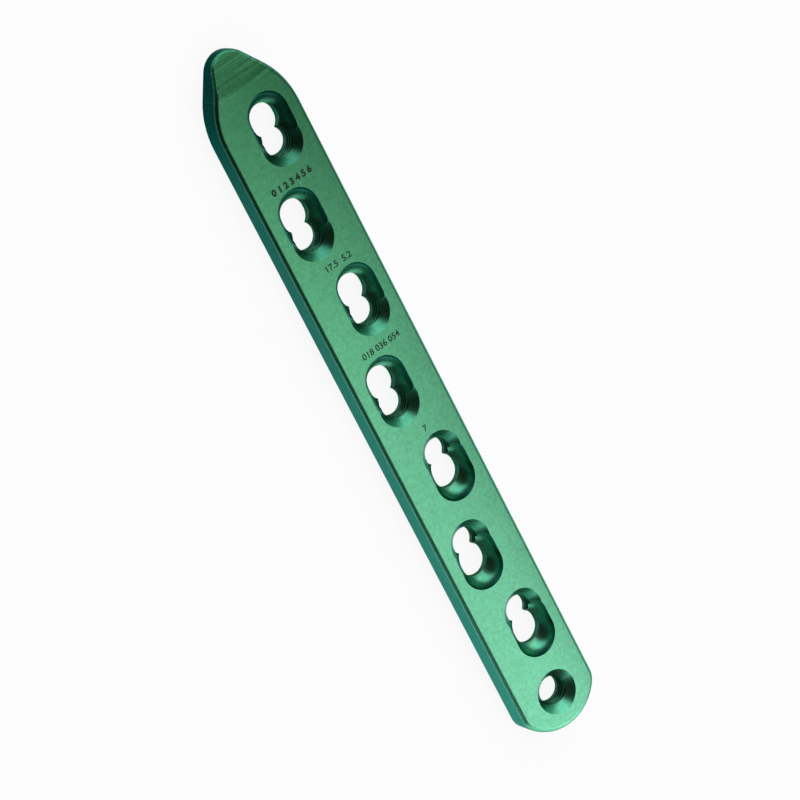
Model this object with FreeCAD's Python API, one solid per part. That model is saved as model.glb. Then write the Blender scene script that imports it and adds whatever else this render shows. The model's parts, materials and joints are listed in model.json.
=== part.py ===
import FreeCAD
import Part

import math
import os

# Orthopedic bone plate: one straight bar with a pointed end, a rounded end, a staggered row of
# combination holes and one round locking hole. Millimetres. The origin is the bottom centre of
# the plate, +X runs along it from the pointed end to the rounded end, +Z is its outer face.

# Bar section
PLATE_WIDTH = 17.5
PLATE_THICKNESS = 5.2
CROWN_RADIUS = 80.0
HOLLOW_WIDTH = 13.6
HOLLOW_DEPTH = 0.35
UPPER_EDGE_ROUND = 1.0
LOWER_EDGE_ROUND = 0.4

# Row of holes
COMBINATION_HOLES = 7
HOLE_PITCH = 18.0
HOLE_STAGGER = 1.65
TIP_TO_FIRST_HOLE = 17.0
LAST_TO_ROUND_HOLE = 15.5
ROUND_HOLE_TO_END = 7.5

# Pointed end
TIP_RADIUS = 4.3
FLANK_ANGLE = 32.0
SHOULDER_RADIUS = 16.0
TIP_THICKNESS = 2.6
SLOPE_LENGTH = 6.4
CREASE_ROUND = 5.0

# Rounded end
END_RISE = 5.16
END_CORNER_RADIUS = 4.0

# Compression part of a combination hole: a ball seat with a short slot through its floor
SEAT_BALL_RADIUS = 4.45
SEAT_BALL_RISE = 0.85
SEAT_OUTER_CENTRE = 3.15
SEAT_INNER_CENTRE = 0.2
SLOT_RADIUS = 2.85
SLOT_OUTER_CENTRE = 2.3
SLOT_INNER_CENTRE = 1.75
SLOT_FLARE_HEIGHT = 1.0
SLOT_FLARE = 0.6

# Locking part, in the combination holes and in the round hole
LOCK_CENTRE = 2.45
LOCK_RIM_RADIUS = 4.4
COUNTERSINK_DEPTH = 2.0
THREAD_TOP_RADIUS = 2.7
SHANK_RADIUS = 2.55
SHANK_HEIGHT = 1.9
SHANK_CHAMFER = 0.25

# Overlap of a cutting solid past the face it opens, and how near two places count as one
PAST = 1.0
TOLERANCE = 0.001

LENGTH = (
    TIP_TO_FIRST_HOLE
    + (COMBINATION_HOLES - 1) * HOLE_PITCH
    + LAST_TO_ROUND_HOLE
    + ROUND_HOLE_TO_END
)
TIP_X = -LENGTH / 2
END_X = LENGTH / 2
HALF_WIDTH = PLATE_WIDTH / 2


def vector(x, y, z=0.0):
    return FreeCAD.Vector(x, y, z)


def polar(centre, radius, degrees):
    angle = math.radians(degrees)
    return centre + vector(radius * math.cos(angle), radius * math.sin(angle))


def arc(centre, radius, start, end):
    middle = (start + end) / 2
    points = [polar(centre, radius, degrees) for degrees in (start, middle, end)]
    return Part.Arc(*points).toShape()


def line(start, end):
    return Part.makeLine(start, end)


def mirrored(edge):
    return edge.mirror(vector(0, 0), vector(0, 1))


def plan_outline():
    """Closed outline of the plate seen from above, pointed at -X and rounded at +X."""
    tip_centre = vector(TIP_X + TIP_RADIUS, 0)
    flank_normal = 90.0 + FLANK_ANGLE
    flank_start = polar(tip_centre, TIP_RADIUS, flank_normal)
    slope = math.radians(FLANK_ANGLE)
    shoulder_y = HALF_WIDTH - SHOULDER_RADIUS
    rise = shoulder_y + SHOULDER_RADIUS * math.cos(slope) - flank_start.y
    shoulder_x = flank_start.x + rise / math.tan(slope) + SHOULDER_RADIUS * math.sin(slope)
    shoulder_centre = vector(shoulder_x, shoulder_y)
    flank_end = polar(shoulder_centre, SHOULDER_RADIUS, flank_normal)

    end_radius = (HALF_WIDTH ** 2 + END_RISE ** 2) / (2 * END_RISE)
    end_centre = vector(END_X - end_radius, 0)
    corner_y = HALF_WIDTH - END_CORNER_RADIUS
    corner_run = math.sqrt((end_radius - END_CORNER_RADIUS) ** 2 - corner_y ** 2)
    corner_centre = vector(end_centre.x + corner_run, corner_y)
    corner_angle = math.degrees(math.atan2(corner_y, corner_run))

    half = [
        line(flank_start, flank_end),
        arc(shoulder_centre, SHOULDER_RADIUS, flank_normal, 90.0),
        line(vector(shoulder_x, HALF_WIDTH), vector(corner_centre.x, HALF_WIDTH)),
        arc(corner_centre, END_CORNER_RADIUS, 90.0, corner_angle),
    ]
    ends = [
        arc(tip_centre, TIP_RADIUS, flank_normal, 360.0 - flank_normal),
        arc(end_centre, end_radius, -corner_angle, corner_angle),
    ]
    edges = ends + half + [mirrored(edge) for edge in half]
    return Part.Wire(Part.__sortEdges__(edges))


def lengthwise_cylinder(radius, z):
    start = vector(TIP_X - PAST, 0, z)
    return Part.makeCylinder(radius, LENGTH + 2 * PAST, start, vector(1, 0))


def crown():
    """The round bar whose top is the slightly crowned outer face."""
    return lengthwise_cylinder(CROWN_RADIUS, PLATE_THICKNESS - CROWN_RADIUS)


def hollow():
    """The shallow hollow along the underside, between the two flat lands."""
    half = HOLLOW_WIDTH / 2
    radius = (half ** 2 + HOLLOW_DEPTH ** 2) / (2 * HOLLOW_DEPTH)
    return lengthwise_cylinder(radius, HOLLOW_DEPTH - radius)


def tip_slope():
    """What is taken off above the pointed end, so that it runs under soft tissue."""
    fall = (PLATE_THICKNESS - TIP_THICKNESS) / SLOPE_LENGTH
    reach = HALF_WIDTH + PAST
    far_x = TIP_X - PAST
    crease_x = TIP_X + SLOPE_LENGTH
    over_x = crease_x + PAST
    profile = Part.makePolygon([
        vector(far_x, -reach, TIP_THICKNESS - PAST * fall),
        vector(over_x, -reach, PLATE_THICKNESS + PAST * fall),
        vector(far_x, -reach, PLATE_THICKNESS + PAST * fall),
        vector(far_x, -reach, TIP_THICKNESS - PAST * fall),
    ])
    return Part.Face(profile).extrude(vector(0, 2 * reach))


def middle_of(edge):
    return edge.valueAt((edge.FirstParameter + edge.LastParameter) / 2)


def gap_to_outline(point, outline):
    return outline.distToShape(Part.Vertex(point.x, point.y, 0))[0]


def runs_around(edge, outline):
    """True for an edge that follows the outline at one level, False for an upright one."""
    first, last = edge.FirstParameter, edge.LastParameter
    places = [edge.valueAt(first + share * (last - first)) for share in (0.25, 0.5, 0.75)]
    run = math.hypot(places[2].x - places[0].x, places[2].y - places[0].y)
    return run > TOLERANCE and all(gap_to_outline(place, outline) < TOLERANCE for place in places)


def rounded_bar():
    """The bar cut to its outline and sloped at the tip, with all its outer edges rounded."""
    outline = plan_outline()
    blank = Part.Face(outline).extrude(vector(0, 0, PLATE_THICKNESS))
    body = blank.common(crown()).cut(tip_slope()).removeSplitter()
    middle_z = TIP_THICKNESS / 2

    crease = [
        edge for edge in body.Edges
        if middle_of(edge).z > middle_z and gap_to_outline(middle_of(edge), outline) > TOLERANCE
        and not runs_around(edge, outline)
    ]
    body = body.makeFillet(CREASE_ROUND, crease)
    around = [edge for edge in body.Edges if runs_around(edge, outline)]
    body = body.makeFillet(UPPER_EDGE_ROUND, [edge for edge in around if middle_of(edge).z > middle_z])
    around = [edge for edge in body.Edges if runs_around(edge, outline)]
    return body.makeFillet(LOWER_EDGE_ROUND, [edge for edge in around if middle_of(edge).z < middle_z])


def slot_outline(radius, z):
    """Outline of the slot: two half circles joined by straight sides."""
    outer = vector(-SLOT_OUTER_CENTRE, 0, z)
    inner = vector(-SLOT_INNER_CENTRE, 0, z)
    up = vector(0, radius)
    return Part.Wire([
        arc(outer, radius, 90.0, 270.0),
        line(outer - up, inner - up),
        arc(inner, radius, -90.0, 90.0),
        line(inner + up, outer + up),
    ])


def compression_cut():
    """Ball seat that lets a screw head slide along the plate, and the slot through its floor."""
    outer = vector(-SEAT_OUTER_CENTRE, 0, PLATE_THICKNESS + SEAT_BALL_RISE)
    inner = vector(SEAT_INNER_CENTRE, 0, PLATE_THICKNESS + SEAT_BALL_RISE)
    seat = Part.makeCylinder(SEAT_BALL_RADIUS, (inner - outer).Length, outer, vector(1, 0))
    seat = seat.fuse([Part.makeSphere(SEAT_BALL_RADIUS, end) for end in (outer, inner)])
    slot = Part.Face(slot_outline(SLOT_RADIUS, -PAST)).extrude(vector(0, 0, PLATE_THICKNESS + PAST))
    slope = SLOT_FLARE / SLOT_FLARE_HEIGHT
    wide = slot_outline(SLOT_RADIUS + SLOT_FLARE + PAST * slope, -PAST)
    flare = Part.makeLoft([wide, slot_outline(SLOT_RADIUS, SLOT_FLARE_HEIGHT)], True, True)
    return [seat, slot, flare]


def locking_cut(x):
    """Countersink, tapered seat of the thread and straight shank hole, turned about one axis."""
    thread_top = PLATE_THICKNESS - COUNTERSINK_DEPTH
    flank = (LOCK_RIM_RADIUS - THREAD_TOP_RADIUS) / COUNTERSINK_DEPTH
    chamfer_top = HOLLOW_DEPTH + SHANK_CHAMFER
    corners = [
        (0, -PAST),
        (SHANK_RADIUS + chamfer_top + PAST, -PAST),
        (SHANK_RADIUS, chamfer_top),
        (SHANK_RADIUS, SHANK_HEIGHT),
        (THREAD_TOP_RADIUS, thread_top),
        (LOCK_RIM_RADIUS + PAST * flank, PLATE_THICKNESS + PAST),
        (0, PLATE_THICKNESS + PAST),
        (0, -PAST),
    ]
    profile = Part.makePolygon([vector(x + radius, 0, z) for radius, z in corners])
    return Part.Face(profile).revolve(vector(x, 0), vector(0, 0, 1), 360)


def combination_holes():
    """The staggered row: each seat opens towards the nearer end of the plate."""
    pieces = compression_cut() + [locking_cut(LOCK_CENTRE)]
    cuts = []
    for number in range(COMBINATION_HOLES):
        x = TIP_X + TIP_TO_FIRST_HOLE + number * HOLE_PITCH
        y = HOLE_STAGGER if number % 2 == 0 else -HOLE_STAGGER
        turn = 0 if number <= COMBINATION_HOLES // 2 else 180
        for piece in pieces:
            cut = piece.copy()
            cut.rotate(vector(0, 0), vector(0, 0, 1), turn)
            cut.translate(vector(x, y))
            cuts.append(cut)
    return cuts


def bone_plate():
    round_hole_x = END_X - ROUND_HOLE_TO_END
    cuts = [hollow(), locking_cut(round_hole_x)] + combination_holes()
    return rounded_bar().cut(cuts).removeSplitter()


def main():
    os.makedirs("parts", exist_ok=True)
    plate = bone_plate()
    plate.exportStep("parts/bone_plate.step")
    print("bone_plate: valid", plate.isValid(), "solids", len(plate.Solids), "volume", round(plate.Volume, 1))


main()
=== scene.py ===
"""Looks of a straight bone plate in green anodised titanium: locking threads, softened hole
rims, laser-marked numbers, a satin metal finish, a white table and soft studio light."""
import json
import math

import bmesh
import bpy
import numpy as np
from mathutils import Matrix, Vector

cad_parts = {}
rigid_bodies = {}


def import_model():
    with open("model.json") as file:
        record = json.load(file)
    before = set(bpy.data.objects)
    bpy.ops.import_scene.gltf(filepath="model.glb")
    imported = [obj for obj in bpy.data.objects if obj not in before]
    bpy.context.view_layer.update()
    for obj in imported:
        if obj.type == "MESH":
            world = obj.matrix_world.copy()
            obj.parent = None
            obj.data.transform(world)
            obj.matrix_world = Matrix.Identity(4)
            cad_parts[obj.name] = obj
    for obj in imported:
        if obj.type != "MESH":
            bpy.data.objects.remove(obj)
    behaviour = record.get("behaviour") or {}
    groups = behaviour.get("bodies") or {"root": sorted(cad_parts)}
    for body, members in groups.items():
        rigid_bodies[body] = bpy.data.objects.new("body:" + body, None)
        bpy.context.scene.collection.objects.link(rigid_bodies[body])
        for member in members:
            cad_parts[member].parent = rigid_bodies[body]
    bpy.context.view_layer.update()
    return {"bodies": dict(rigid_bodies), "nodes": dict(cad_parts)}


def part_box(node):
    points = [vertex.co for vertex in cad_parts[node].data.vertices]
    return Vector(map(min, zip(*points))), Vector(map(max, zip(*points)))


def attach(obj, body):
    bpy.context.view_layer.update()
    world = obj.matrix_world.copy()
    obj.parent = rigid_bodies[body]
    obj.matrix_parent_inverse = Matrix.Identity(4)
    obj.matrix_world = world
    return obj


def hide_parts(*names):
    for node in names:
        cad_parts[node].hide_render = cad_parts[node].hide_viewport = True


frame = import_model()

# Shape is worked out in millimetres and handed over in metres.
MM = 0.001
TO_METRES = Matrix.Scale(MM, 4)
TO_MILLIMETRES = Matrix.Scale(1 / MM, 4)

# Plate
PLATE_LOW, PLATE_HIGH = [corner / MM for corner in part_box("bone_plate")]
TIP_X, END_X, THICKNESS = PLATE_LOW.x, PLATE_HIGH.x, PLATE_HIGH.z
CROWN_RADIUS = 80.0
TIP_THICKNESS = 2.6
SLOPE_LENGTH = 6.4
PAST_SLOPE_X = TIP_X + 8.5

# Row of holes, from the pointed end
COMBINATION_HOLES = 7
HOLE_PITCH = 18.0
HOLE_STAGGER = 1.65
TIP_TO_FIRST_HOLE = 17.0
ROUND_HOLE_TO_END = 7.5
LOCK_CENTRE = 2.45
LOCK_RIM_RADIUS = 4.4
SEAT_BALL_RADIUS = 4.45
SEAT_BALL_RISE = 0.85
SEAT_OUTER_CENTRE = 3.15
SEAT_INNER_CENTRE = 0.2

# Part of the plate that holds all the holes, and none of its outer walls
HOLE_ROW_X = PAST_SLOPE_X, END_X - 3.05
HOLE_ROW_Y = 7.0

# Locking thread, cut into the tapered seat
THREAD_TOP_RADIUS = 2.7
THREAD_TOP = 3.2
SHANK_RADIUS = 2.55
SHANK_HEIGHT = 1.9
THREAD_START = 1.0
THREAD_PITCH = 0.6
THREAD_DEPTH = 0.28
THREAD_FLAT = 0.08
THREAD_FLANK = math.radians(30)
THREAD_INSIDE = 0.1
THREAD_RUN_OUT = 0.3
THREAD_FADE_TURNS = 0.6
THREAD_FADE_FROM = 0.05
STEPS_PER_TURN = 60

# Crowned face: the steps in which it is divided across the plate, how low and how turned its
# flat faces are in the CAD mesh, and how far their corners may rise to the true crown
CROWN_STEP = 1.0
CROWN_DROP = 0.7
CROWN_TURN = math.radians(6)
CROWN_SAG = 0.15

# Softened rims
RIM_ROUND = 0.35
RIM_SEGMENTS = 4
RIM_ANGLE = math.radians(25)

# Normals: edges that stay sharp, and how far corners and faces may be from a true surface
# whose normal they take
SMOOTH_ANGLE = math.radians(34)
LEVEL_ANGLE = math.radians(2)
HOLE_ANGLE = math.radians(15)
NEAR_FACE = 0.01
NEAR_SURFACE = 0.03
UPRIGHT = 0.02

# How near two places are that count as one, and how near the crown a place is that lies on it
MERGE = 0.0005
ON_FACE = 0.004

# Painted shade inside the holes, as darker metal: its lowest level, and the steepness at which it ends
HOLE_FLOOR = 0.2
STEEP = 0.45

# Laser marks: plain numbers in rows across the plate, read from one long edge to the other.
# Each row has its text, its place along and across the plate, and the weight of its strokes.
MARK_DEPTH = 0.04
MARK_HEIGHT = 1.25
MARK_FONT_SIZE = 1.4 * MARK_HEIGHT
MARK_CURVE_STEPS = 3
MARK_MERGE = 0.001
MARK_CUTTER_HEIGHT = 1.0
MARK_ROWS = [
    ("0 1 2 3 4 5 6", -47.6, -0.3, 0.09),
    ("17.5  5.2", -30.0, 0.5, 0.03),
    ("018 036 054", -12.0, 0.5, 0.03),
    ("7", 6.4, 0.7, 0.03),
]

# Colours of the metal at the pointed end and at the rounded end, the pointed end darker as painted shade;
# slopes and steep walls take darker copies as painted shade by facing, and the hole walls darker ones as
# painted shade inside the holes
FACE_COLOURS = (0.078, 0.34, 0.155, 1), (0.175, 0.56, 0.35, 1)
SLOPE_SHADE_COLOURS = (0.050, 0.29, 0.18, 1), (0.115, 0.50, 0.325, 1)
WALL_SHADE_COLOURS = (0.026, 0.095, 0.075, 1), (0.058, 0.29, 0.22, 1)
HOLE_SHADE_COLOURS = (0.006, 0.045, 0.040, 1), (0.012, 0.11, 0.085, 1)
EDGE_TINT = (0.42, 0.66, 0.62, 1)

# Upward part of the normal over which the painted shade colours of slopes and of steep walls take over
SLOPING_RANGE = 0.92, 0.72
STEEP_RANGE = 0.60, 0.20

# Painted shade at the pointed end: its strength and where it starts and ends, on all faces and again on the
# walls
TIP_SHADE = 0.63
TIP_SHADE_REACH = TIP_X + 2.0, TIP_X + 62.0
TIP_WALL_SHADE = 0.42
TIP_WALL_REACH = TIP_X + 5.0, TIP_X + 26.0

# Noises, each with its scale, detail, roughness and, where it is drawn out, its stretch
DRIFT_NOISE = 25.0, 2.0, 0.6
MOTTLE_NOISE = 1500.0, 4.0, 0.6
SLOPE_LINE_NOISE = 2400.0, 2.0, 0.6, (1.0, 0.03, 0.03)
GRIND_NOISE = 6000.0, 3.0, 0.6, (0.05, 1.0, 1.0)
GRAIN_NOISE = 1600.0, 2.0, 0.6
STAIN_NOISE = 400.0, 3.0, 0.5
SPECKLE_NOISE = 4000.0, 2.0, 0.5
TABLE_NOISE = 300.0, 3.0, 0.5

# What the noises do: the share of the drift, for mottle and lines the range of the noise and
# the shades that it gives, and the roughness, height and strength of the grinding
DRIFT_AMOUNT = 0.3
MOTTLE_RANGE, MOTTLE_SHADES = (0.3, 0.7), (0.86, 1.14)
SLOPE_LINE_RANGE, SLOPE_LINE_SHADES = (0.35, 0.65), (0.75, 1.32)
SLOPE_LINE_REACH = PAST_SLOPE_X, PAST_SLOPE_X - 2.0
GRIND_ROUGHNESS = 0.22, 0.38
GRIND_RELIEF = 0.012
GRIND_STRENGTH = 0.5

# Metal of the threads and of the hole walls, darkened as painted shade, and the laser marks
THREAD_SHADE_COLOURS = (0.022, 0.130, 0.090, 1), (0.045, 0.100, 0.060, 1)
THREAD_EDGE_TINT = (0.25, 0.42, 0.36, 1)
THREAD_ROUGHNESS = 0.32
MARK_COLOURS = (0.012, 0.018, 0.016, 1), (0.035, 0.05, 0.045, 1)
MARK_ROUGHNESS = 0.6
MARK_SPECULAR = 0.2

# White table, in metres
FLOOR_SIZE = 6.0
FLOOR_COLOURS = (0.12, 0.12, 0.12, 1), (0.135, 0.135, 0.135, 1)
FLOOR_ROUGHNESS = 0.9
FLOOR_GLOW = 0.90
WHITE = (1, 1, 1, 1)

# Surroundings: colour of the bright room, then each region in it as its direction, where it
# starts and is full as the cosine of the angle to that direction, and its colour
ROOM = (1.25, 1.25, 1.25, 1)
SKY_REGIONS = [
    ((-0.12, 0.62, 0.78), 0.78, 0.97, (0.36, 0.39, 0.37, 1)),
    ((-0.30, -0.72, 0.63), 0.58, 0.76, (0.05, 0.03, 0.025, 1)),
    ((0.35, -0.55, 0.76), 0.85, 0.95, (0.02, 0.02, 0.02, 1)),
    ((0.45, 0.88, 0.20), 0.77, 0.95, (0.22, 0.27, 0.25, 1)),
    ((0.35, -0.93, 0.12), 0.90, 0.98, (0.06, 0.06, 0.06, 1)),
    ((-0.75, 0.50, 0.30), 0.82, 0.95, (1.6, 1.6, 1.55, 1)),
]

# Lamp: its place, its width and height in metres, and its power in watts
LAMP_PLACE = Vector((1.2, 0.6, 1.0))
LAMP_SIZE = 0.6, 0.6
LAMP_POWER = 1.5

# Camera, in plate millimetres, and its long lens
CAMERA_PLACE = Vector((-250.2, -252.7, 570.6))
CAMERA_AIM = Vector((0.0, 0.0, THICKNESS / 2))
CAMERA_UP = Vector((-0.888, 0.452, 0.083))
CAMERA_LENS = 165.0
CAMERA_SENSOR = 36.0
CAMERA_NEAREST = 10.0


def new_object(name, data):
    piece = bpy.data.objects.new(name, data)
    bpy.context.scene.collection.objects.link(piece)
    return piece


def evaluated_mesh(piece):
    graph = bpy.context.evaluated_depsgraph_get()
    return bpy.data.meshes.new_from_object(piece.evaluated_get(graph))


def apply_modifiers(piece):
    mesh = evaluated_mesh(piece)
    piece.modifiers.clear()
    piece.data = mesh


def clear_startup_objects():
    kept = set(frame["nodes"].values()) | set(frame["bodies"].values())
    for thing in list(bpy.data.objects):
        if thing not in kept:
            bpy.data.objects.remove(thing)


def combination_holes():
    """Place of each combination hole, and the way from its seat to its locking part."""
    places = []
    for number in range(COMBINATION_HOLES):
        x = TIP_X + TIP_TO_FIRST_HOLE + number * HOLE_PITCH
        y = HOLE_STAGGER if number % 2 == 0 else -HOLE_STAGGER
        places.append((x, y, 1 if number <= COMBINATION_HOLES // 2 else -1))
    return places


def locking_axes():
    """Places of all the locking axes: one in each combination hole, and the round hole."""
    in_holes = [(x + way * LOCK_CENTRE, y) for x, y, way in combination_holes()]
    return in_holes + [(END_X - ROUND_HOLE_TO_END, 0.0)]


def in_hole_row(x, y):
    return (HOLE_ROW_X[0] < x) & (x < HOLE_ROW_X[1]) & (abs(y) < HOLE_ROW_Y)


def crown_height(y):
    """Height of the crowned outer face above the table."""
    return THICKNESS - CROWN_RADIUS + np.sqrt(CROWN_RADIUS ** 2 - y ** 2)


def follows_crown(face, y):
    """True for a face that is nearly square to the crown's normal at y."""
    return face.normal.angle(Vector((0, y, CROWN_RADIUS)), math.pi) < CROWN_TURN


def divide_crown(work):
    """Divides the flat faces of the crown into lengthwise strips."""
    for y in np.arange(PLATE_LOW.y + CROWN_STEP, PLATE_HIGH.y, CROWN_STEP):
        work.normal_update()
        faces = []
        for face in work.faces:
            middle = face.calc_center_median()
            if middle.z > THICKNESS - CROWN_DROP and follows_crown(face, middle.y):
                faces.append(face)
        edges = {edge for face in faces for edge in face.edges}
        corners = {vertex for edge in edges for vertex in edge.verts}
        bmesh.ops.bisect_plane(
            work, geom=[*corners, *edges, *faces], dist=MERGE, plane_co=(0, y, 0), plane_no=(0, 1, 0),
        )


def raise_to_crown(work):
    """Puts the corners of the crown's strips at the true height of the crown."""
    work.normal_update()
    for vertex in work.verts:
        height = crown_height(vertex.co.y)
        on_crown = all(follows_crown(face, vertex.co.y) for face in vertex.link_faces)
        if on_crown and abs(vertex.co.z - height) < CROWN_SAG:
            vertex.co.z = height


def plate_in_millimetres(materials):
    """A copy of the CAD plate whose crown is divided finely."""
    mesh = frame["nodes"]["bone_plate"].data.copy()
    mesh.materials.clear()
    for material in materials:
        mesh.materials.append(material)
    mesh.transform(TO_MILLIMETRES)
    work = bmesh.new()
    work.from_mesh(mesh)
    bmesh.ops.remove_doubles(work, verts=work.verts, dist=MERGE)
    divide_crown(work)
    raise_to_crown(work)
    work.to_mesh(mesh)
    work.free()
    return new_object("plate", mesh)


def cut(plate, cutter_mesh, material):
    cutter_mesh.materials.clear()
    cutter_mesh.materials.append(material)
    cutter = new_object("cutter", cutter_mesh)
    boolean = plate.modifiers.new("cut", "BOOLEAN")
    boolean.object = cutter
    boolean.solver = "MANIFOLD"
    boolean.operation = "DIFFERENCE"
    apply_modifiers(plate)
    bpy.data.objects.remove(cutter)


def smoothstep(share):
    return share * share * (3 - 2 * share)


def thread_groove(x, y):
    """Closed spiral bar whose outer part is the groove of a right-handed thread."""
    taper = (THREAD_TOP_RADIUS - SHANK_RADIUS) / (THREAD_TOP - SHANK_HEIGHT)
    turns = (THREAD_TOP + THREAD_RUN_OUT - THREAD_START) / THREAD_PITCH
    inner_half = THREAD_FLAT / 2 + (THREAD_DEPTH + THREAD_INSIDE) * math.tan(THREAD_FLANK)
    mesh = bmesh.new()
    rings = []
    for step in range(int(turns * STEPS_PER_TURN) + 1):
        turn = step / STEPS_PER_TURN
        z = THREAD_START + THREAD_PITCH * turn
        wall = SHANK_RADIUS + taper * max(0.0, z - SHANK_HEIGHT)
        grown = max(THREAD_FADE_FROM, smoothstep(min(1.0, turn / THREAD_FADE_TURNS)))
        inner = wall - THREAD_INSIDE
        outer = inner + (THREAD_DEPTH + THREAD_INSIDE) * grown
        angle = 2 * math.pi * turn
        corners = [
            (inner, -inner_half),
            (outer, -THREAD_FLAT / 2),
            (outer, THREAD_FLAT / 2),
            (inner, inner_half),
        ]
        rings.append([
            mesh.verts.new((x + radius * math.cos(angle), y + radius * math.sin(angle), z + rise))
            for radius, rise in corners
        ])
    for low, high in zip(rings, rings[1:]):
        for k in range(len(low)):
            following = (k + 1) % len(low)
            mesh.faces.new((low[k], low[following], high[following], high[k]))
    mesh.faces.new(rings[0][::-1])
    mesh.faces.new(rings[-1])
    bmesh.ops.recalc_face_normals(mesh, faces=mesh.faces)
    data = bpy.data.meshes.new("thread_groove")
    mesh.to_mesh(data)
    mesh.free()
    return data


def mark_cutter(text, x, y, weight):
    """Upright bars in the shape of the figures, bent to the crown, that reach just into the face."""
    font = bpy.data.curves.new("mark", "FONT")
    font.body = text
    font.size = MARK_FONT_SIZE
    font.offset = weight
    font.align_x = "CENTER"
    font.align_y = "CENTER"
    font.resolution_u = MARK_CURVE_STEPS
    font.extrude = MARK_CUTTER_HEIGHT / 2
    piece = new_object("mark", font)
    bpy.context.view_layer.update()
    mesh = evaluated_mesh(piece)
    bpy.data.objects.remove(piece)
    work = bmesh.new()
    work.from_mesh(mesh)
    bmesh.ops.remove_doubles(work, verts=work.verts, dist=MARK_MERGE)
    bmesh.ops.recalc_face_normals(work, faces=work.faces)
    bmesh.ops.triangulate(work, faces=work.faces)
    for vertex in work.verts:
        across, along, up = vertex.co
        place = y + across
        floor = crown_height(place) - MARK_DEPTH
        vertex.co = (x - along, place, floor if up < 0 else floor + MARK_CUTTER_HEIGHT)
    work.to_mesh(mesh)
    work.free()
    return mesh


def paint_hole_shade(plate):
    """Gives the walls of the threads, shank holes and slots the darker metal, as painted shade inside the
    holes.
    """
    for face in plate.data.polygons:
        x, y, z = face.center
        if in_hole_row(x, y) and HOLE_FLOOR < z < THREAD_TOP and abs(face.normal.z) < STEEP:
            face.material_index = 1


def lies_on_crown(point):
    return abs(point.z - crown_height(point.y)) < ON_FACE


def soften_rims(plate):
    """Rounds the edge where each hole opens in the outer face."""
    work = bmesh.new()
    work.from_mesh(plate.data)
    bmesh.ops.remove_doubles(work, verts=work.verts, dist=MERGE)
    rims = [
        edge for edge in work.edges
        if len(edge.link_faces) == 2
        and edge.calc_face_angle(0.0) > RIM_ANGLE
        and all(lies_on_crown(vertex.co) for vertex in edge.verts)
    ]
    bmesh.ops.bevel(
        work, geom=rims, offset=RIM_ROUND, offset_type="OFFSET", segments=RIM_SEGMENTS,
        profile=0.5, affect="EDGES", clamp_overlap=True,
    )
    work.to_mesh(plate.data)
    work.free()


def crown_normals(point):
    """How far points lie below the crowned face, and its normals there."""
    slope = point[:, 1] / CROWN_RADIUS
    normal = np.stack([0 * slope, slope, np.sqrt(1 - slope ** 2)], 1)
    return crown_height(point[:, 1]) - point[:, 2], normal


def slope_normals(point):
    """How far points lie below the slope of the pointed end, and its normal."""
    fall = (THICKNESS - TIP_THICKNESS) / SLOPE_LENGTH
    gap = TIP_THICKNESS + fall * (point[:, 0] - TIP_X) - point[:, 2]
    normal = np.tile([-fall, 0.0, 1.0], (len(point), 1))
    return gap / math.hypot(1, fall), normal / math.hypot(1, fall)


def countersink_normals(point, axis):
    """How far points lie outside the countersink about an axis, and its normals there."""
    out = point[:, :2] - axis
    radius = np.linalg.norm(out, axis=1)
    slope = (LOCK_RIM_RADIUS - THREAD_TOP_RADIUS) / (THICKNESS - THREAD_TOP)
    gap = radius - THREAD_TOP_RADIUS - slope * (point[:, 2] - THREAD_TOP)
    normal = np.column_stack([-out / np.maximum(radius, MERGE)[:, None], np.full(len(point), slope)])
    return gap / math.hypot(1, slope), normal / math.hypot(1, slope)


def seat_normals(point, hole):
    """How far points lie outside the ball seat of a combination hole, and its normals there."""
    x, y, way = hole
    ends = sorted((x - way * SEAT_OUTER_CENTRE, x + way * SEAT_INNER_CENTRE))
    inward = np.array([0, y, THICKNESS + SEAT_BALL_RISE]) - point
    inward[:, 0] = np.clip(point[:, 0], *ends) - point[:, 0]
    distance = np.linalg.norm(inward, axis=1)
    return distance - SEAT_BALL_RADIUS, inward / distance[:, None]


def weigh_normals(plate):
    """Smooth normals in which large faces count for more."""
    plate.data.shade_smooth()
    plate.data.set_sharp_from_angle(angle=SMOOTH_ANGLE)
    weight = plate.modifiers.new("weight", "WEIGHTED_NORMAL")
    weight.keep_sharp = True
    apply_modifiers(plate)


def take_outer_normals(plate):
    """Gives the outer walls and their roundings the normals of the CAD mesh."""
    source = new_object("source", frame["nodes"]["bone_plate"].data.copy())
    source.data.transform(TO_MILLIMETRES)
    group = plate.vertex_groups.new(name="outside")
    outside = [vertex.index for vertex in plate.data.vertices if not in_hole_row(*vertex.co.xy)]
    group.add(outside, 1.0, "REPLACE")
    transfer = plate.modifiers.new("normals", "DATA_TRANSFER")
    transfer.object = source
    transfer.use_loop_data = True
    transfer.data_types_loops = {"CUSTOM_NORMAL"}
    transfer.loop_mapping = "NEAREST_POLYNOR"
    transfer.vertex_group = group.name
    apply_modifiers(plate)
    plate.vertex_groups.clear()
    bpy.data.objects.remove(source)


def read_numbers(data, name):
    values = np.zeros(len(data), int)
    data.foreach_get(name, values)
    return values


def read_vectors(data, name):
    values = np.zeros(len(data) * 3)
    data.foreach_get(name, values)
    return values.reshape(-1, 3)


def within_angle(first, second, angle):
    """Whether each row of unit vectors points as its fellow does, to within an angle."""
    return np.einsum("ij,ij->i", first, second) > math.cos(angle)


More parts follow.
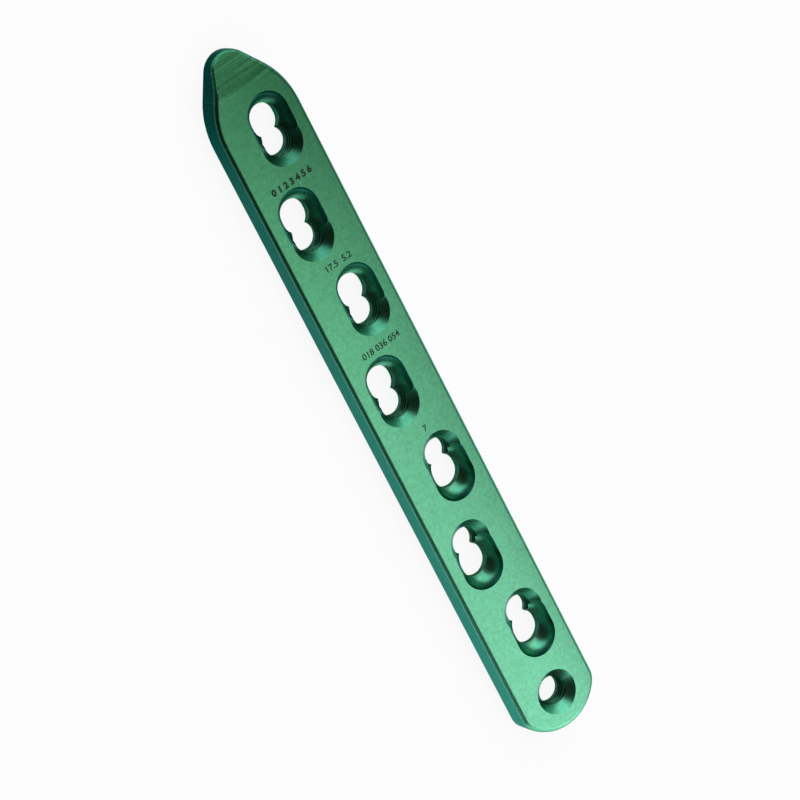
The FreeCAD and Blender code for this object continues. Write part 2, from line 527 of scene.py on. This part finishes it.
def work_out_normals(plate):
    """Sets the exact normals of the outer walls, slope, countersinks, seats and crown."""
    mesh = plate.data
    corner = read_vectors(mesh.corner_normals, "vector")
    point = read_vectors(mesh.vertices, "co")[read_numbers(mesh.loops, "vertex_index")]
    face = np.repeat(read_vectors(mesh.polygons, "normal"), read_numbers(mesh.polygons, "loop_total"), axis=0)

    upright = (np.abs(face[:, 2]) < UPRIGHT) & ~in_hole_row(point[:, 0], point[:, 1])
    corner[upright, 2] = 0.0
    corner[upright] /= np.linalg.norm(corner[upright], axis=1)[:, None]

    surfaces = [slope_normals(point)]
    surfaces += [countersink_normals(point, axis) for axis in locking_axes()]
    surfaces += [seat_normals(point, hole) for hole in combination_holes()]
    for gap, normal in surfaces:
        member = (np.abs(gap) < NEAR_SURFACE) & within_angle(face, normal, HOLE_ANGLE)
        corner[member] = normal[member]

    depth, normal = crown_normals(point)
    near = (np.abs(depth) < NEAR_FACE) & within_angle(corner, normal, SMOOTH_ANGLE)
    level = (np.abs(depth) < 2 * MARK_DEPTH) & within_angle(face, normal, LEVEL_ANGLE)
    member = near | (level & (point[:, 0] > PAST_SLOPE_X))
    corner[member] = normal[member]
    mesh.normals_split_custom_set(corner.tolist())


def put_in(tree, value, entry):
    """Fills a node's entry with a value, which is a socket, a number or a colour."""
    if isinstance(value, bpy.types.NodeSocket):
        tree.links.new(value, entry)
    else:
        entry.default_value = value


def ranged(tree, value, low, high, to_low=0.0, to_high=1.0, kind="SMOOTHSTEP"):
    """The value carried over from one range to another, and held at its ends."""
    node = tree.nodes.new("ShaderNodeMapRange")
    node.interpolation_type = kind
    names = "Value", "From Min", "From Max", "To Min", "To Max"
    for name, entry in zip(names, (value, low, high, to_low, to_high)):
        put_in(tree, entry, node.inputs[name])
    return node.outputs["Result"]


def arithmetic(tree, operation, first, second=0.0):
    node = tree.nodes.new("ShaderNodeMath")
    node.operation = operation
    put_in(tree, first, node.inputs[0])
    put_in(tree, second, node.inputs[1])
    return node.outputs["Value"]


def vector_arithmetic(tree, operation, output, first, name, second):
    """One output of a vector operation whose second entry has the name given."""
    node = tree.nodes.new("ShaderNodeVectorMath")
    node.operation = operation
    put_in(tree, first, node.inputs[0])
    put_in(tree, second, node.inputs[name])
    return node.outputs[output]


def blend(tree, share, first, second):
    """Colour between two others."""
    node = tree.nodes.new("ShaderNodeMix")
    node.data_type = "RGBA"
    for name, value in (("Factor", share), ("A", first), ("B", second)):
        put_in(tree, value, node.inputs[name])
    return node.outputs["Result"]


def noise(tree, scale, detail, roughness, stretch=(1.0, 1.0, 1.0)):
    """Noise fixed to the plate, drawn out along the axes whose stretch is below 1."""
    place = tree.nodes.new("ShaderNodeTexCoord")
    mapping = tree.nodes.new("ShaderNodeMapping")
    put_in(tree, place.outputs["Object"], mapping.inputs["Vector"])
    put_in(tree, stretch, mapping.inputs["Scale"])
    node = tree.nodes.new("ShaderNodeTexNoise")
    names = "Vector", "Scale", "Detail", "Roughness"
    for name, value in zip(names, (mapping.outputs["Vector"], scale, detail, roughness)):
        put_in(tree, value, node.inputs[name])
    return node.outputs["Fac"]


def new_material(name, **values):
    """A material, its node tree and its shader, with plain values on the shader's own entries."""
    material = bpy.data.materials.new(name)
    material.use_nodes = True
    shader = material.node_tree.nodes["Principled BSDF"]
    for entry, value in values.items():
        shader.inputs[entry.replace("_", " ")].default_value = value
    return material, material.node_tree, shader


def speckled(name, pattern, colours, **values):
    """A material whose colour wanders between two, with its node tree and shader."""
    material, tree, shader = new_material(name, **values)
    put_in(tree, blend(tree, noise(tree, *pattern), *colours), shader.inputs["Base Color"])
    return material, tree, shader


def anodised_colour_and_shade(tree, x, y):
    """Green of the faces and teal of steep walls, both drifting along the plate, and the steepness; the
    darker pointed end, the darker slope and wall copies and the darker hole walls are painted shade.
    """
    drift = arithmetic(tree, "MULTIPLY", noise(tree, *DRIFT_NOISE), DRIFT_AMOUNT)
    share = arithmetic(tree, "ADD", ranged(tree, x, TIP_X, END_X, kind="LINEAR"), drift)
    share = ranged(tree, share, DRIFT_AMOUNT / 2, 1 + DRIFT_AMOUNT / 2, kind="LINEAR")
    facing = tree.nodes.new("ShaderNodeSeparateXYZ")
    put_in(tree, tree.nodes.new("ShaderNodeNewGeometry").outputs["Normal"], facing.inputs["Vector"])
    level = arithmetic(tree, "ABSOLUTE", facing.outputs["Z"])
    # Painted shade: darker from the rounded end to the pointed end, with darker copies on slopes and steep
    # walls
    colour = blend(tree, share, *FACE_COLOURS)
    for reach, colours in ((SLOPING_RANGE, SLOPE_SHADE_COLOURS), (STEEP_RANGE, WALL_SHADE_COLOURS)):
        steep = ranged(tree, level, *reach)
        colour = blend(tree, steep, colour, blend(tree, share, *colours))
    # Painted shade: steep faces inside the row of holes take the darker hole colours
    hole_shade = arithmetic(tree, "LESS_THAN", arithmetic(tree, "ABSOLUTE", y), HOLE_ROW_Y)
    for comparison, end in zip(("GREATER_THAN", "LESS_THAN"), HOLE_ROW_X):
        hole_shade = arithmetic(tree, "MULTIPLY", hole_shade, arithmetic(tree, comparison, x, end))
    hole_shade = arithmetic(tree, "MULTIPLY", steep, hole_shade)
    return blend(tree, hole_shade, colour, blend(tree, share, *HOLE_SHADE_COLOURS)), steep


def tip_shade_mottle_and_lines(tree, x, steep):
    """Painted shade at the pointed end, deeper on its walls, fine mottle, and grinding lines across the
    slope.
    """
    # Painted shade: darker towards the pointed end, and deeper still on its steep walls
    shade = ranged(tree, x, *TIP_SHADE_REACH, TIP_SHADE, 1.0)
    tip_wall = ranged(tree, x, *TIP_WALL_REACH, TIP_WALL_SHADE, 1.0)
    on_slope = ranged(tree, x, *SLOPE_LINE_REACH)
    mottle = ranged(tree, noise(tree, *MOTTLE_NOISE), *MOTTLE_RANGE, *MOTTLE_SHADES, kind="LINEAR")
    lines = ranged(tree, noise(tree, *SLOPE_LINE_NOISE), *SLOPE_LINE_RANGE, *SLOPE_LINE_SHADES, kind="LINEAR")
    slope_lines = arithmetic(tree, "POWER", lines, on_slope)
    wall_shade = arithmetic(tree, "POWER", tip_wall, steep)
    for factor in (mottle, slope_lines, wall_shade):
        shade = arithmetic(tree, "MULTIPLY", shade, factor)
    return shade


def anodised_titanium():
    """Green anodised titanium with fine grinding lines along the plate, and painted shade at the pointed end,
    on slopes and walls and in the holes.
    """
    material, tree, shader = new_material("anodised_titanium", Metallic=1.0, Specular_Tint=EDGE_TINT)
    in_metres = tree.nodes.new("ShaderNodeTexCoord").outputs["Object"]
    in_millimetres = vector_arithmetic(tree, "SCALE", "Vector", in_metres, "Scale", 1 / MM)
    place = tree.nodes.new("ShaderNodeSeparateXYZ")
    put_in(tree, in_millimetres, place.inputs["Vector"])
    x, y = place.outputs["X"], place.outputs["Y"]
    colour, steep = anodised_colour_and_shade(tree, x, y)
    shade = tip_shade_mottle_and_lines(tree, x, steep)
    shaded = vector_arithmetic(tree, "SCALE", "Vector", colour, "Scale", shade)
    put_in(tree, shaded, shader.inputs["Base Color"])

    lines = noise(tree, *GRIND_NOISE)
    roughness = ranged(tree, lines, 0.0, 1.0, *GRIND_ROUGHNESS, kind="LINEAR")
    put_in(tree, roughness, shader.inputs["Roughness"])
    bump = tree.nodes.new("ShaderNodeBump")
    bump.inputs["Strength"].default_value = GRIND_STRENGTH
    bump.inputs["Distance"].default_value = GRIND_RELIEF * MM
    put_in(tree, arithmetic(tree, "ADD", lines, noise(tree, *GRAIN_NOISE)), bump.inputs["Height"])
    put_in(tree, bump.outputs["Normal"], shader.inputs["Normal"])
    return material


def shaded_thread_titanium():
    """Dark bronze-green metal of the thread and the hole walls, its darkness a painted shade, which the
    anodising colours less evenly.
    """
    return speckled(
        "shaded_thread_titanium", STAIN_NOISE, THREAD_SHADE_COLOURS,
        Metallic=1.0, Roughness=THREAD_ROUGHNESS, Specular_Tint=THREAD_EDGE_TINT,
    )[0]


def laser_mark():
    """Dark, dull brown of a laser mark."""
    return speckled(
        "laser_mark", SPECKLE_NOISE, MARK_COLOURS, Roughness=MARK_ROUGHNESS, Specular_IOR_Level=MARK_SPECULAR,
    )[0]


def table():
    """White table that the camera and the mirroring metal see at full brightness."""
    material, tree, shader = speckled(
        "table", TABLE_NOISE, FLOOR_COLOURS,
        Roughness=FLOOR_ROUGHNESS, Specular_IOR_Level=0.0, Emission_Color=WHITE,
    )
    ray = tree.nodes.new("ShaderNodeLightPath").outputs
    mirrored = arithmetic(tree, "MAXIMUM", ray["Is Glossy Ray"], ray["Is Transmission Ray"])
    seen = arithmetic(tree, "MAXIMUM", ray["Is Camera Ray"], mirrored)
    put_in(tree, arithmetic(tree, "MULTIPLY", seen, FLOOR_GLOW), shader.inputs["Emission Strength"])
    return material


def make_plate():
    finish, thread, mark = anodised_titanium(), shaded_thread_titanium(), laser_mark()
    plate = plate_in_millimetres([finish, thread, mark])
    for x, y in locking_axes():
        cut(plate, thread_groove(x, y), thread)
    paint_hole_shade(plate)
    soften_rims(plate)
    for row in MARK_ROWS:
        cut(plate, mark_cutter(*row), mark)
    weigh_normals(plate)
    take_outer_normals(plate)
    work_out_normals(plate)
    plate.data.transform(TO_METRES)
    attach(plate, "root")
    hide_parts("bone_plate")


def make_floor():
    mesh = bpy.data.meshes.new("floor")
    half = FLOOR_SIZE / 2
    corners = [(-half, -half, 0), (half, -half, 0), (half, half, 0), (-half, half, 0)]
    mesh.from_pydata(corners, [], [range(len(corners))])
    mesh.materials.append(table())
    new_object("floor", mesh)


def make_world():
    """Soft surroundings: dim overhead, bright to the right and far side, dark on the near side."""
    world = bpy.data.worlds.new("studio")
    bpy.context.scene.world = world
    world.use_nodes = True
    tree = world.node_tree
    tree.nodes.clear()
    place = tree.nodes.new("ShaderNodeTexCoord").outputs["Generated"]
    colour = ROOM
    for direction, start, full, region_colour in SKY_REGIONS:
        middle = Vector(direction).normalized()
        alike = vector_arithmetic(tree, "DOT_PRODUCT", "Value", place, 1, middle)
        colour = blend(tree, ranged(tree, alike, start, full), colour, region_colour)
    background = tree.nodes.new("ShaderNodeBackground")
    put_in(tree, colour, background.inputs["Color"])
    output = tree.nodes.new("ShaderNodeOutputWorld")
    put_in(tree, background.outputs["Background"], output.inputs["Surface"])


def make_lamp():
    data = bpy.data.lights.new("key", "AREA")
    data.shape = "RECTANGLE"
    data.size, data.size_y = LAMP_SIZE
    data.energy = LAMP_POWER
    lamp = new_object("key", data)
    lamp.location = LAMP_PLACE
    lamp.rotation_mode = "QUATERNION"
    lamp.rotation_quaternion = (-LAMP_PLACE).to_track_quat("-Z", "Y")
    lamp.visible_camera = False


def make_camera():
    data = bpy.data.cameras.new("camera")
    data.lens = CAMERA_LENS
    data.sensor_width = CAMERA_SENSOR
    data.clip_start = CAMERA_NEAREST * MM
    camera = new_object("camera", data)
    forward = (CAMERA_AIM - CAMERA_PLACE).normalized()
    right = forward.cross(CAMERA_UP).normalized()
    up = right.cross(forward)
    rotation = Matrix([right, up, -forward]).transposed()
    camera.matrix_world = Matrix.LocRotScale(CAMERA_PLACE * MM, rotation, None)
    bpy.context.scene.camera = camera
    bpy.context.scene.view_settings.view_transform = "Standard"


clear_startup_objects()
make_plate()
make_floor()
make_world()
make_lamp()
make_camera()
